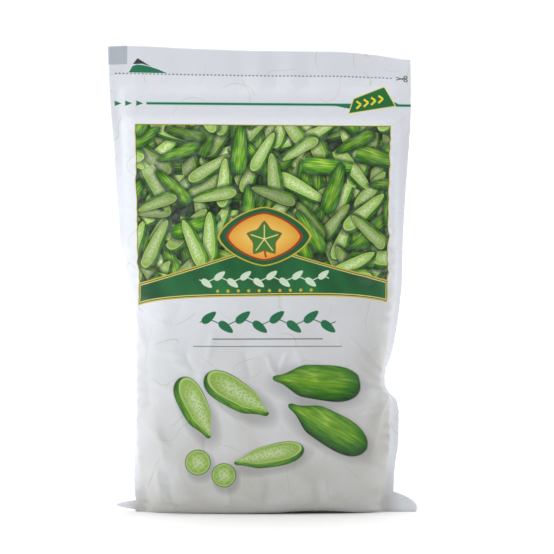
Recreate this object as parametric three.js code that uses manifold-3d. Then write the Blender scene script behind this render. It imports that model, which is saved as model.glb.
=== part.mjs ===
// A filled zip pouch of frozen gourd halves, standing on its base.
// Millimetres, +Z up, front towards -Y, origin at the bottom centre of the whole part.

import * as THREE from 'three';
import { mergeVertices } from 'three/addons/utils/BufferGeometryUtils.js';
import Module from 'manifold-3d';

const wasm = await Module();
wasm.setup();

// ---- driving dimensions ----

const FILM = 0.7; // wall of each film, thicker than the real laminate
const GAP = 0.3; // between pieces that touch
const SIDE_SEAL = 6.5; // width of the sealed strip down each side

// Distance of each edge from the pouch's middle plane at a height, seals included: [height, x].
const LEFT_EDGE = [
  [0, -79], [20, -80.5], [60, -79.3], [118, -79], [133, -80.8], [146, -83.5], [164, -87.5],
  [183, -89.3], [214, -92.5], [239, -94.6], [255, -96], [292, -97.5],
];
const RIGHT_EDGE = [
  [0, 80], [14, 82], [32, 83], [51, 84.5], [66, 85.6], [71, 84.6], [76, 78.4], [82, 76.6], [89, 77.2],
  [97, 79.6], [108, 81.8], [121, 83.8], [145, 86.2], [164, 86.9], [195, 89.3], [227, 91.7], [255, 92.8],
  [292, 93],
];
// The top edge, cut a little crooked: [x, height].
const TOP_EDGE = [[-98, 291.4], [-86, 292], [-40, 290.3], [0, 289.4], [45, 289.3], [70, 287.6], [93, 285]];
// Half the depth of the filled pouch at a height: [height, depth].
const HALF_DEPTH = [
  [0, 18], [1.5, 21], [4, 23.6], [9, 26.4], [18, 28.6], [34, 29.6], [70, 29.8], [105, 29], [135, 27.4],
  [164, 24.6], [196, 20.2], [222, 13.6], [238, 7.6], [249, 2.75], [262, 2.75], [266, 0.8],
];
// The corners of the bottom seal stand out past the body as ears.
const LEFT_EAR = { height: 4.4, half: 4, reach: 12.6 };
const RIGHT_EAR = { height: 2, half: 11, reach: 16 };

const ZIP = { height: 255, length: 158, middle: -1.5, tape: 9, bead: 0.9, neck: 0.4, jaw: 0.7, wall: 0.6 };
const BOTTOM_SEAL = { from: -80, to: 90, depth: 8.5 };

const LEVELS = [
  0, 1.5, 4, 9, 18, 30, 44, 58, 66, 71, 76, 82, 89, 98, 110, 124, 138, 152, 166, 182, 198, 212, 224,
  232, 240, 249, 262, 266,
];
const ARC_STEPS = 20; // points along the front, and again along the back, of each level
const HEADER = 266; // the films are sealed flat together from here up
const SEAL_LEVELS = [0.8, 2.6, 4.4, 6.2, 8, 10, 12, ...LEVELS.filter((z) => z > 12), 272, 279, 286, 292];
const SEAL_STEPS = 26; // points across the flat, sealed outline

const GOURD = { length: 56.5, diameter: 22.7, slit: GAP, column: 28.9, row: 11.9, stack: 6, sides: 12 };

// ---- curves ----

// A smooth curve through [at, value] pairs: cubic pieces whose slopes don't overshoot.
function curveThrough(pairs) {
  const slopes = pairs.map((pair, i) => {
    if (i === 0 || i === pairs.length - 1) return 0;
    const before = (pair[1] - pairs[i - 1][1]) / (pair[0] - pairs[i - 1][0]);
    const after = (pairs[i + 1][1] - pair[1]) / (pairs[i + 1][0] - pair[0]);
    return before * after > 0 ? (2 * before * after) / (before + after) : 0;
  });
  return (at) => {
    const last = pairs.length - 2;
    const found = pairs.findIndex((pair, i) => i > 0 && at <= pair[0]) - 1;
    const i = found < 0 ? (at <= pairs[0][0] ? 0 : last) : found;
    const step = pairs[i + 1][0] - pairs[i][0];
    const t = THREE.MathUtils.clamp((at - pairs[i][0]) / step, 0, 1);
    const rise = pairs[i + 1][1] - pairs[i][1];
    const bend = slopes[i] * step * t * (1 - t) * (1 - t) - slopes[i + 1] * step * t * t * (1 - t);
    return pairs[i][1] + rise * t * t * (3 - 2 * t) + bend;
  };
}

const leftEdge = curveThrough(LEFT_EDGE);
const rightEdge = curveThrough(RIGHT_EDGE);
const topEdge = curveThrough(TOP_EDGE);
const halfDepth = curveThrough(HALF_DEPTH);

// How far an ear stands out at a height: half an ellipse on its side.
function earReach(ear, z) {
  const off = (z - ear.height) / ear.half;
  return Math.abs(off) < 1 ? ear.reach * Math.sqrt(1 - off * off) : 0;
}

// The pouch leans back above its fill, and its top right corner curls back a little more.
function leanBack(x, z) {
  const up = Math.max(0, (z - 205) / 87);
  const corner = Math.max(0, (x - 35) / 58) * Math.max(0, (z - 262) / 30);
  return 6 * up * up + 7 * corner * corner;
}

// ---- solids ----

function toSolid(geometry) {
  const bare = geometry.clone();
  bare.deleteAttribute('normal');
  bare.deleteAttribute('uv');
  const merged = mergeVertices(bare, 1e-4);
  const mesh = new wasm.Mesh({
    numProp: 3,
    vertProperties: new Float32Array(merged.attributes.position.array),
    triVerts: new Uint32Array(merged.index.array),
  });
  return new wasm.Manifold(mesh);
}

function toGeometry(solid) {
  const mesh = solid.getMesh();
  const geometry = new THREE.BufferGeometry();
  geometry.setAttribute('position', new THREE.BufferAttribute(new Float32Array(mesh.vertProperties), 3));
  geometry.setIndex(new THREE.BufferAttribute(new Uint32Array(mesh.triVerts), 1));
  return geometry;
}

function block(x0, x1, y0, y1, z0, z1) {
  const box = new THREE.BoxGeometry(x1 - x0, y1 - y0, z1 - z0);
  box.translate((x0 + x1) / 2, (y0 + y1) / 2, (z0 + z1) / 2);
  return toSolid(box);
}

// Joins rings of points, each counter-clockwise from above, into one closed body with flat ends.
function loft(rings) {
  const count = rings[0].length;
  const points = rings.flat();
  const faces = [];
  for (let k = 0; k < rings.length - 1; k++) {
    for (let i = 0; i < count; i++) {
      const a = k * count + i;
      const b = k * count + ((i + 1) % count);
      faces.push(a, b, b + count, a, b + count, a + count);
    }
  }
  for (const end of [0, rings.length - 1]) {
    const middle = rings[end].reduce((sum, p) => sum.add(p), new THREE.Vector3()).divideScalar(count);
    points.push(middle);
    for (let i = 0; i < count; i++) {
      const a = end * count + i;
      const b = end * count + ((i + 1) % count);
      faces.push(...(end === 0 ? [b, a] : [a, b]), points.length - 1);
    }
  }
  const geometry = new THREE.BufferGeometry().setFromPoints(points);
  geometry.setIndex(faces);
  return toSolid(geometry);
}

// One level of the filled body: a lens with its tips at the side seals, square-ended at the zip.
function bodyRing(level, inset) {
  const left = leftEdge(level) + SIDE_SEAL + inset * 1.2;
  const right = rightEdge(level) - SIDE_SEAL - inset * 1.2;
  const depth = halfDepth(level) - inset;
  const power = THREE.MathUtils.lerp(2.5, 30, THREE.MathUtils.smoothstep(level, 225, 249));
  const ring = [];
  for (let i = 0; i < 2 * ARC_STEPS; i++) {
    const across = -Math.cos((Math.PI * i) / ARC_STEPS);
    const y = depth * Math.pow(1 - Math.pow(Math.abs(across), power), 0.52);
    const x = THREE.MathUtils.lerp(left, right, (across + 1) / 2);
    ring.push(new THREE.Vector3(x, (i <= ARC_STEPS ? -y : y) + leanBack(x, level), level));
  }
  return ring;
}

// The outside of the filled body, or with an inset the room inside it.
function filledBody(inset) {
  const rings = LEVELS.map((level, k) => {
    const lift = k === 0 ? inset : k === LEVELS.length - 1 ? -inset * 3 : 0;
    return bodyRing(level + lift, inset);
  });
  return loft(rings);
}

// A flat ring across the pouch between two depths from its middle surface. Above the header's
// foot the rings spread so that the last one follows the top edge.
function flatRing(level, front, back, sides) {
  const xs = [];
  for (let i = 0; i <= SEAL_STEPS; i++) {
    xs.push(THREE.MathUtils.lerp(leftEdge(level), rightEdge(level), i / SEAL_STEPS));
  }
  xs[0] -= sides.left;
  xs[SEAL_STEPS] += sides.right;
  const point = (x, y) => {
    const rise = level > HEADER ? (topEdge(x) - HEADER) / (292 - HEADER) : 1;
    const z = level > HEADER ? HEADER + (level - HEADER) * rise : level;
    return new THREE.Vector3(x, y + leanBack(x, z), z);
  };
  return [...xs.map((x) => point(x, front)), ...xs.reverse().map((x) => point(x, back))];
}

// Both films pressed flat together over the pouch's whole outline: the seals are what is left of it.
function flatPouch() {
  const half = FILM + GAP / 2;
  return loft(SEAL_LEVELS.map((level) => {
    const ears = { left: earReach(LEFT_EAR, level), right: earReach(RIGHT_EAR, level) };
    return flatRing(level, -half, half, ears);
  }));
}

// All the space on one side of the pouch's middle surface.
function sideOfMiddle(front, back) {
  const wide = { left: 200, right: 200 };
  return loft([-50, ...SEAL_LEVELS, 350].map((level) => flatRing(level, front, back, wide)));
}

// ---- the two films ----

// Both films share one shell, split along the middle plane. The bottom seal is folded back under
// the base: the front film runs straight on into it, and the back film turns round over it.
function films() {
  const outside = filledBody(0).add(flatPouch());
  const room = filledBody(FILM);
  const far = 400;
  const frontHalf = sideOfMiddle(-far, -GAP / 2);
  const backHalf = sideOfMiddle(GAP / 2, far);
  const { from, to, depth } = BOTTOM_SEAL;

  const frontFlap = block(from, to, -1, depth, 0, FILM);
  const front = outside.subtract(room).intersect(frontHalf).add(frontFlap);

  const flapFloor = FILM + GAP;
  const flapTop = flapFloor + FILM;
  const groove = block(from - GAP, to + GAP, -1, depth + 2 * GAP, -1, flapTop + GAP);
  const step = block(-far, far, -1, depth + 2 * GAP + FILM, -1, flapTop + GAP + FILM);
  const backFlap = block(from, to, GAP / 2, depth, flapFloor, flapTop);
  const turn = block(from, to, GAP / 2, GAP / 2 + FILM, flapFloor, flapTop + GAP + FILM);
  const back = outside.subtract(groove).subtract(room.subtract(step)).intersect(backHalf);
  return { front, back: back.add(backFlap).add(turn) };
}

// ---- the press-to-close zip ----

// A strip's outline across the zip, given as [depth, height] from the zip's middle, run along X.
function zipStrip(outline) {
  const shape = new THREE.Shape(outline.map(([y, z]) => new THREE.Vector2(y, z)));
  const strip = new THREE.ExtrudeGeometry(shape, { depth: ZIP.length, bevelEnabled: false });
  const turn = new THREE.Matrix4().makeBasis(
    new THREE.Vector3(0, 1, 0), new THREE.Vector3(0, 0, 1), new THREE.Vector3(1, 0, 0));
  strip.applyMatrix4(turn).translate(ZIP.middle - ZIP.length / 2, 0, ZIP.height);
  const place = strip.attributes.position;
  for (let i = 0; i < place.count; i++) {
    place.setY(i, place.getY(i) + leanBack(place.getX(i), place.getZ(i)));
  }
  return strip;
}

const zipInner = halfDepth(ZIP.height) - FILM - GAP; // where each strip's back lies
const zipFace = zipInner - ZIP.wall;

// The front strip carries a bead on a neck.
function beadStrip() {
  const half = ZIP.tape / 2;
  const head = -0.1;
  return zipStrip([
    [-zipInner, -half], [-zipFace, -half], [-zipFace, -ZIP.neck], [head, -ZIP.neck], [head, -ZIP.bead],
    [head + ZIP.wall, -ZIP.bead], [head + ZIP.wall, ZIP.bead], [head, ZIP.bead], [head, ZIP.neck],
    [-zipFace, ZIP.neck], [-zipFace, half], [-zipInner, half],
  ]);
}

// The back strip carries two hooked jaws that hold the bead.
function jawStrip() {
  const half = ZIP.tape / 2;
  const inside = ZIP.bead + GAP;
  const lip = ZIP.neck + GAP;
  const outside = inside + ZIP.jaw;
  const lipBack = -0.4;
  const lipFront = -0.75;
  return zipStrip([
    [zipInner, -half], [zipInner, half], [zipFace, half], [zipFace, outside], [lipFront, outside],
    [lipFront, lip], [lipBack, lip], [lipBack, inside], [zipFace, inside], [zipFace, -inside],
    [lipBack, -inside], [lipBack, -lip], [lipFront, -lip], [lipFront, -outside], [zipFace, -outside],
    [zipFace, -half],
  ]);
}

// ---- the frozen halves ----

function seededRandom(seed) {
  let state = seed;
  return () => {
    state = (state * 1664525 + 1013904223) % 4294967296;
    return state / 4294967296;
  };
}

const random = seededRandom(41);
const between = (low, high) => low + (high - low) * random();

// One gourd cut lengthwise: two halves a slit apart, along X, about the origin.
function gourdHalves(length, radius, roll) {
  const profile = [];
  const stations = 6;
  for (let k = 0; k <= stations; k++) {
    const along = (1 - Math.cos((Math.PI * k) / stations)) / 2;
    const swell = Math.pow(Math.sin(Math.PI * along), 0.36);
    const r = k === 0 || k === stations ? 0 : radius * swell;
    profile.push(new THREE.Vector2(r, (along - 0.5) * length));
  }
  const whole = toSolid(new THREE.LatheGeometry(profile, GOURD.sides).rotateZ(-Math.PI / 2));
  const wide = 2 * length;
  return [-1, 1].map((side) => {
    const inner = (side * GOURD.slit) / 2;
    const outer = side * wide;
    const keep = block(-wide, wide, -wide, wide, Math.min(inner, outer), Math.max(inner, outer));
    return toGeometry(whole.intersect(keep)).rotateX(roll);
  });
}

// Where the gourds lie: one row along the base, with four stacks over it, two above each end of
// the row, and each gourd resting on the one under it.
function gourdPlaces() {
  const places = [];
  const floor = 3 * FILM + 2 * GAP + GAP;
  for (const x of [-GOURD.column, GOURD.column]) {
    const base = { x, y: 0, radius: between(0.97, 1) * GOURD.diameter / 2 };
    base.z = floor + base.radius + GOURD.slit;
    places.push(base);
    for (const y of [-GOURD.row, GOURD.row]) {
      let under = base;
      for (let k = 0; k < GOURD.stack; k++) {
        const radius = between(0.97, 1) * GOURD.diameter / 2;
        const reach = under.radius + radius + GOURD.slit + GAP;
        const z = under.z + Math.sqrt(reach * reach - (y - under.y) * (y - under.y));
        under = { x, y, z, radius };
        places.push(under);
      }
    }
  }
  return places;
}

// ---- the scene ----

const filmPaint = { color: 0xe4e4e0, roughness: 0.42, metalness: 0 };
const frontFilm = new THREE.MeshStandardMaterial(filmPaint);
const backFilm = new THREE.MeshStandardMaterial(filmPaint);
const zipPlastic = new THREE.MeshStandardMaterial({ color: 0x4c9c5a, roughness: 0.4, metalness: 0 });
const gourdFlesh = new THREE.MeshStandardMaterial({ color: 0x8fae62, roughness: 0.6, metalness: 0 });

const pouch = new THREE.Group();

function addPiece(name, geometry, material) {
  const mesh = new THREE.Mesh(geometry, material);
  mesh.name = name;
  pouch.add(mesh);
  return mesh;
}

const { front, back } = films();
addPiece('film_front', toGeometry(front), frontFilm);
addPiece('film_back', toGeometry(back), backFilm);
addPiece('zip_bead_strip', beadStrip(), zipPlastic);
addPiece('zip_jaw_strip', jawStrip(), zipPlastic);

gourdPlaces().forEach((place, i) => {
  const length = between(0.94, 1) * GOURD.length;
  const roll = (Math.floor(between(0, GOURD.sides)) * 2 * Math.PI) / GOURD.sides;
  const halves = gourdHalves(length, place.radius, roll);
  halves.forEach((half, k) => {
    const name = `gourd_half_${String(2 * i + k + 1).padStart(2, '0')}`;
    addPiece(name, half, gourdFlesh).position.set(place.x, place.y, place.z);
  });
});

// The whole part stands with the middle of its box over the origin.
const box = new THREE.Box3().setFromObject(pouch);
const middle = box.getCenter(new THREE.Vector3());
pouch.position.set(-middle.x, -middle.y, -box.min.z);

export default pouch;
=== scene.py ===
import math
from functools import partialmethod

import bpy
import numpy as np
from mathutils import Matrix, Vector


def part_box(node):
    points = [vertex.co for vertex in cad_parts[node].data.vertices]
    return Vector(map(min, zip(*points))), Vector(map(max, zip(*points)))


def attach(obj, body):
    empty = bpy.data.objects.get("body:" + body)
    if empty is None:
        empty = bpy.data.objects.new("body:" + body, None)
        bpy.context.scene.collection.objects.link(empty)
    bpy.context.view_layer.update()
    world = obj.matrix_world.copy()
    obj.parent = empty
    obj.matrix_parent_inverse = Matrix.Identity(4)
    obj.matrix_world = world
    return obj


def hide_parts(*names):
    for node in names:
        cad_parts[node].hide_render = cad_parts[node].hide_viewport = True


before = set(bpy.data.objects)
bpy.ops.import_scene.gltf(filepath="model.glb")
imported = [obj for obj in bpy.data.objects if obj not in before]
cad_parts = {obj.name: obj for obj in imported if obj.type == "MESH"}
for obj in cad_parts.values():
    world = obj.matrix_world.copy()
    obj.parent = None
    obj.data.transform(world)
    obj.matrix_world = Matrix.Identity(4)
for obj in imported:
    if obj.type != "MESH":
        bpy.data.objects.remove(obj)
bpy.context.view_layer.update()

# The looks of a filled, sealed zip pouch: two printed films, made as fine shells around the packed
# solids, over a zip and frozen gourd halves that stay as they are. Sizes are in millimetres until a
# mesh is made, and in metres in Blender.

MM = 0.001

# ---- the pouch's sizes ----

# Edges, top and half depth of the filled pouch, as [at, value] pairs along its height or width.
LEFT_EDGE = [
    [0, -79], [14, -80.6], [32, -81], [47, -81], [62, -80.6], [104, -80.4], [119, -79.2], [133, -81.2],
    [146, -83.6], [159, -85.4], [166, -88], [183, -89.3], [214, -92.5], [239, -94.6], [255, -96],
    [292, -97.5],
]
RIGHT_EDGE = [
    [0, 80], [14, 82], [28, 83.2], [44, 85.4], [56, 85.6], [64, 85.4], [70, 83.8], [76, 78.2], [82, 76.4],
    [89, 76.9], [97, 79.6], [108, 81.8], [121, 83.8], [145, 86.2], [164, 86.9], [195, 89.3], [227, 91.7],
    [255, 92.8], [292, 93],
]
TOP_EDGE = [[-98, 291.4], [-86, 292], [-40, 290.3], [0, 289.4], [45, 289.3], [70, 287.6], [93, 285]]
HALF_DEPTH = [
    [0, 16.6], [2, 19], [6, 21.2], [14, 23.8], [27, 26.2], [42, 28], [62, 29.2], [86, 29.5], [108, 28.7],
    [135, 27.2], [164, 24.3], [196, 19.9], [222, 13.3], [238, 7.5], [249, 2.9], [260, 2.6], [268, 0.8],
    [276, 0.25],
]
# How far each side seal is turned back against the pouch, in degrees, along its height.
LEFT_TURN = [[0, 0], [10, 8], [24, 55], [60, 78], [130, 80], [165, 66], [200, 38], [235, 8], [250, 0]]
RIGHT_TURN = [
    [0, 0], [12, 6], [26, 22], [60, 26], [74, 58], [90, 66], [112, 56], [150, 58], [190, 40], [235, 8],
    [250, 0],
]
# The two powers of a level section between its side seals, along its height: how flat its middle is,
# and how it rounds off at the seals.
LENS_POWER = [[225, 2.5], [249, 20]]
LENS_BLUNT = [[0, 0.5], [30, 0.45], [180, 0.45], [225, 0.52], [250, 0.56]]
# Each lower corner's ear: its middle's height, half its height, how far it stands out, and the power of
# its outline.
LEFT_EAR = (3.6, 3.1, 12.8, 1.1)
RIGHT_EAR = (2, 10.4, 16.4, 0.9)
SIDE_SEAL = 6.5
HEADER = 266  # the films lie flat together above this
TOP = 292
FILM = 0.3  # wall of each film
SEAL_GAP = 0.2  # between the two films where they are sealed
FLAP = 8.5  # the bottom seal, folded back under the base
FLAP_ENDS = (-80, 89)
FLAP_NEAR = 0.8  # the flap's near line, behind the films' shared middle
BACK_FOOT = 8  # below this height the back film's wall comes down off its flap

# The pouch leans back above its fill, and its top right corner curls back.
LEAN_FROM = 205
LEAN = 6
CURL_FROM = (35, 262)
CURL = 7

# The raw outline's lowest x sits at the box's lowest x.
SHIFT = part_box("film_front")[0][0] / MM - LEFT_EDGE[-1][1]

# ---- curves ----


def through(pairs):
    """A smooth curve through [at, value] pairs: cubic pieces, each slope the harmonic mean of its
    neighbours' slopes, or level at a peak."""
    at, value = np.array(pairs, float).T
    step = np.diff(at)
    rise = np.diff(value) / step
    product = rise[:-1] * rise[1:]
    total = np.where(product > 0, rise[:-1] + rise[1:], 1)
    slope = np.zeros(len(at))
    slope[1:-1] = np.where(product > 0, 2 * product / total, 0)

    def curve(x):
        x = np.asarray(x, float)
        i = np.clip(np.searchsorted(at, x) - 1, 0, len(step) - 1)
        t = np.clip((x - at[i]) / step[i], 0, 1)
        bend = slope[i] * step[i] * t * (1 - t) ** 2 - slope[i + 1] * step[i] * t * t * (1 - t)
        return value[i] + (value[i + 1] - value[i]) * t * t * (3 - 2 * t) + bend

    return curve


left_edge = through(LEFT_EDGE)
right_edge = through(RIGHT_EDGE)
top_edge = through(TOP_EDGE)
half_depth = through(HALF_DEPTH)
left_turn = through(LEFT_TURN)
right_turn = through(RIGHT_TURN)
lens_power = through(LENS_POWER)
lens_blunt = through(LENS_BLUNT)


def step_up(x, low, high):
    """0 below low, 1 above high, and an S between them."""
    t = np.clip((x - low) / (high - low), 0, 1)
    return t * t * (3 - 2 * t)


def hump(x, low, high, soft):
    """1 between low and high, falling to 0 over a soft length outside them."""
    return step_up(x, low - soft, low) * (1 - step_up(x, high, high + soft))


def ear_reach(ear, z):
    """How far an ear stands out of the edge: reach x (1 - off^2)^power at its height off its middle."""
    height, half, reach, power = ear
    off = np.clip(np.abs(z - height) / half, 0, 1)
    return reach * (1 - off * off) ** power


def lean_back(x, z):
    """How far the pouch's middle surface lies back: the lean by the square of the height above its
    start, and the curl by the square of how far out times how far up the corner a point is."""
    up = np.maximum(0, (z - LEAN_FROM) / (TOP - LEAN_FROM))
    out = np.maximum(0, (x - CURL_FROM[0]) / (RIGHT_EDGE[-1][1] - CURL_FROM[0]))
    corner = out * np.maximum(0, (z - CURL_FROM[1]) / (TOP - CURL_FROM[1]))
    return LEAN * up * up + CURL * corner * corner


# ---- the films' plain shape ----

COLUMNS = 160
# The wall's heights, closest together at its foot.
WALL = np.concatenate([
    np.arange(0.2, 16, 0.65), np.arange(16, HEADER, 1.25), np.linspace(HEADER, TOP, 22),
])
BASE_ROWS = 14
FLAP_ROWS = 7
LENS_STEPS = 500  # points across a section before its path is spaced evenly
SEAL_STEPS = 60  # points across each side seal before that


def smoothed(grid, passes):
    """Each point moved, a few times, to half itself and a quarter of each neighbour along its row. The
    ends of the rows stay."""
    grid = grid.copy()
    for _ in range(passes):
        grid[:, 1:-1] = (grid[:, :-2] + 2 * grid[:, 1:-1] + grid[:, 2:]) / 4
    return grid


def lengths_along(grid):
    """How far along its row each point lies."""
    pieces = np.linalg.norm(np.diff(grid, axis=1), axis=-1)
    return np.concatenate([np.zeros((len(grid), 1)), np.cumsum(pieces, axis=1)], axis=1)


def evenly_spaced(grid, count):
    """Each row's path resampled at equal lengths along it."""
    rows = []
    for length, row in zip(lengths_along(grid), grid):
        wanted = np.linspace(0, 1, count) * length[-1]
        rows.append(np.stack([np.interp(wanted, length, line) for line in row.T], axis=-1))
    return np.stack(rows)


def seal_path(root, turn, reach, outward, side):
    """A side seal's strip of one film, from its root to its tip: a straight run turned back by an
    angle, half the films' spacing off their shared middle. outward is -1 on the left and 1 on the
    right."""
    away = np.linspace(0, 1, SEAL_STEPS)[None, 1:] * reach
    apart = side * (FILM + SEAL_GAP) / 2
    x = root + outward * (away * np.cos(turn) - apart * np.sin(turn))
    y = away * np.sin(turn) + apart * np.cos(turn)
    return np.stack(np.broadcast_arrays(x, y), axis=-1)


def sections(z, side):
    """One film's level outlines, as rows of (x, y): in along the left seal, over the fill in a lens
    whose depth is (1 - |s|^power)^blunt, with s from -1 to 1 across it, and out along the right
    seal."""
    z = z[:, None]
    turned_left = np.radians(left_turn(z))
    turned_right = np.radians(right_turn(z))
    root_left = left_edge(z) + SIDE_SEAL * np.cos(turned_left)
    root_right = right_edge(z) - SIDE_SEAL * np.cos(turned_right)
    s = -np.cos(np.linspace(0, math.pi, LENS_STEPS))[None, :]
    lens = np.clip(1 - np.abs(s) ** lens_power(z), 0, 1) ** lens_blunt(z)
    x = root_left + (root_right - root_left) * (s + 1) / 2
    y = side * (half_depth(z) * lens + (FILM + SEAL_GAP) / 2)
    left_seal = seal_path(root_left, turned_left, SIDE_SEAL + ear_reach(LEFT_EAR, z), -1, side)
    right_seal = seal_path(root_right, turned_right, SIDE_SEAL + ear_reach(RIGHT_EAR, z), 1, side)
    path = np.concatenate([left_seal[:, ::-1], np.stack([x, y], axis=-1), right_seal], axis=1)
    return smoothed(evenly_spaced(path, COLUMNS + 1), 4)


def film_middle(side):
    """The middle of one film's thickness, in rows from the flap's end, under the base and up to the
    top edge. side is -1 for the front film and 1 for the back one."""
    x, y = np.moveaxis(sections(WALL, side), -1, 0)
    z = np.repeat(WALL[:, None], COLUMNS + 1, axis=1)
    above = np.maximum(0, z - HEADER) / (TOP - HEADER)
    z = np.where(z > HEADER, HEADER + above * (top_edge(x) - HEADER), z)

    # Under the base the rows run in from the wall's foot to the middle line, and the flap's rows run
    # back from there.
    apart = side * (FILM + SEAL_GAP) / 2
    inward = np.linspace(1, 0, BASE_ROWS + 1)[1:, None]
    floor = FILM / 2
    base_x = np.repeat(x[:1], BASE_ROWS, axis=0)
    base_y = (y[:1] - apart) * inward + apart
    base_z = np.full_like(base_y, floor)
    flap_x = np.repeat(np.linspace(*FLAP_ENDS, COLUMNS + 1)[None, :], FLAP_ROWS, axis=0)
    flap_y = np.repeat(np.linspace(FLAP, FLAP_NEAR, FLAP_ROWS)[:, None], COLUMNS + 1, axis=1)
    flap_z = np.full_like(flap_y, floor)
    if side > 0:
        # The back film lies on the front one's flap, turns round, and runs back over itself.
        layer = FILM + SEAL_GAP
        flap_z += layer
        over = floor + 2 * layer + 0.1
        base_z, foot = (over + (floor - over) * step_up(back, FLAP + 1, FLAP + 4) for back in (base_y, y))
        rise = np.clip((z - floor) / (BACK_FOOT - floor), 0, 1)
        z = np.where(z < BACK_FOOT, foot + (BACK_FOOT - foot) * rise, z)
        base_y = base_y + 0.5 * (1 - inward)
    strips = ((flap_x, base_x, x), (flap_y, base_y, y), (flap_z, base_z, z))
    return np.stack([np.concatenate([flap, base[::-1], wall]) for flap, base, wall in strips], axis=-1)


def normals_of(grid, side):
    """Unit normals that point out of the pouch, from the two directions of a grid of points."""
    cross = np.cross(np.gradient(grid, axis=1), np.gradient(grid, axis=0))
    return -side * cross / np.maximum(np.linalg.norm(cross, axis=-1, keepdims=True), 1e-9)


def flat_places(grid):
    """Each point's place on the flat film: across it by the length along its row from the pouch's
    middle line, and up it by the length of the middle column, counted down from the top edge."""
    along = lengths_along(grid)
    middle = np.array([np.interp(0, row[:, 0], length) for row, length in zip(grid, along)])
    column = grid[:, COLUMNS // 2]
    length = np.concatenate([[0], np.cumsum(np.linalg.norm(np.diff(column, axis=0), axis=-1))])
    height = column[-1, 2] - (length[-1] - length)
    return np.stack(np.broadcast_arrays(along - middle[:, None], height[:, None]), axis=-1)


def from_seals(grid):
    """How far in from the roots of its left and right seals each point lies along its row, below 0 on
    the seals."""
    along = lengths_along(grid)
    z = grid[:, :1, 2]
    left = along - SIDE_SEAL - ear_reach(LEFT_EAR, z)
    right = along[:, -1:] - along - SIDE_SEAL - ear_reach(RIGHT_EAR, z)
    return left, right


# ---- folds, creases and lumps ----

# Creases as (x, height) of one end and of the other, half width, and how far they stand out.
FRONT_CREASES = [
    (-76.5, 131, -73.5, 104, 2.2, 2.2), (-73, 126, -58, 118, 3, 1.4), (-70, 104, -50, 99, 2.6, 1.6),
    (2.5, 99, 9, 85, 1.3, 2), (9, 85, 14.5, 99, 1.3, 2), (20, 104, 27, 88, 1.6, 1.3),
    (-12, 103, -8, 84, 2.2, -1), (76, 84, 54, 106, 2, 2.2), (75, 82, 48, 89, 2.2, 1.9),
    (77, 80, 60, 64, 2, 2), (74, 90, 66, 126, 2.6, 1.6), (79, 78, 68, 52, 1.8, 1.6),
    (52, 20, 76, 6, 3.2, 1.9), (60, 34, 76, 26, 2.2, 1.2), (-60, 12, -54, 2, 1.4, 1.4),
    (-68, 26, -42, 14, 3, 1.3), (-20, 12, 16, 6, 3.2, 1), (20, 26, 42, 12, 2.4, 1),
    (-84, 160, -64, 152, 3, 1.4), (84, 176, 62, 164, 3.2, 1.7), (83, 150, 60, 146, 2.6, 1.6),
    (-86, 205, -62, 214, 3.6, 1.3), (87, 214, 62, 222, 3.4, 1.3), (-40, 242, -36, 220, 4, 1.2),
    (30, 242, 26, 222, 3.6, 1.2), (66, 241, 60, 218, 4, 1.2), (-6, 241, -4, 224, 3.2, -1),
    (-75, 60, -58, 42, 2.6, 1.4), (-74, 84, -56, 78, 2.2, 1.2), (-76, 66, -66, 70, 1.8, -1.2),
    (-30, 112, -34, 96, 2.6, 1.2), (44, 118, 50, 100, 2.6, 1.3), (-48, 98, -40, 84, 2.2, -0.9),
    (-65, 28, -62, 7, 2.6, 2), (-58, 24, -57, 6, 2.2, -1.2), (38, 24, 41, 5, 2.8, 2.2),
    (32, 22, 35, 5, 2.4, -1.5), (72, 100, 60, 122, 2.4, 1.4), (68, 96, 52, 112, 2.2, -1.2),
    (73, 60, 64, 34, 3, 1.4), (-73, 96, -71, 60, 2.6, -1.3), (-22, 20, -20, 5, 2.6, 1.2),
    (4, 22, 2, 5, 2.8, -1.1), (-66, 58, -60, 34, 3, 1.3), (50, 62, 56, 42, 3.2, 1.1),
]
# Soft bumps as (x, height, half width, half height, how far they stand out).
FRONT_LUMPS = [
    (-62, 115, 13, 14, 1.9), (62, 30, 22, 14, 1.4), (-30, 150, 26, 12, 1.0), (34, 128, 30, 14, 1.0),
    (70, 108, 10, 16, -1.3), (0, 60, 30, 16, 1.0), (-58, 66, 16, 18, 1.1), (-10, 190, 34, 14, 0.9),
    (-50, 30, 18, 12, 1.2), (24, 34, 18, 12, -0.8),
]
# How far the front film's lower edge stands off the floor, as [x, height] pairs.
FOOT_LIFT = [
    [-80, 0.8], [-45, 0], [-20, 0], [10, 0.8], [28, 2.3], [40, 2.6], [56, 1.2], [72, 0.3], [90, 0],
]
LIFT_FADES = 16  # the height at which the wall has no lift left
# Soft waves of both films between the zip and the top: (x, half width, out).
HEADER_PUCKERS = [
    (-14, 5, 0.7), (-3, 4, -0.6), (7, 5, 0.8), (18, 4.5, -0.65), (28, 5, 0.75), (41, 6, -0.5),
    (-52, 9, 0.6), (64, 8, 0.6), (-78, 6, -0.4),
]
RANDOM_CREASES = 90
RANDOM_LUMPS = 60
SEEDS = {-1: 41, 1: 67}

foot_lift = through(FOOT_LIFT)


def crease(x, z, start, end, half, out):
    """A crease along a straight line: out / (1 + (d / half)^2)^1.5 at a distance d from it, fading at
    its two ends."""
    run = np.subtract(end, start)
    length = np.hypot(*run)
    along = ((x - start[0]) * run[0] + (z - start[1]) * run[1]) / length
    away = ((x - start[0]) * run[1] - (z - start[1]) * run[0]) / length
    fade = hump(along, length * 0.25, length * 0.75, length * 0.45)
    return out * fade / (1 + (away / half) ** 2) ** 1.5


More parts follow.
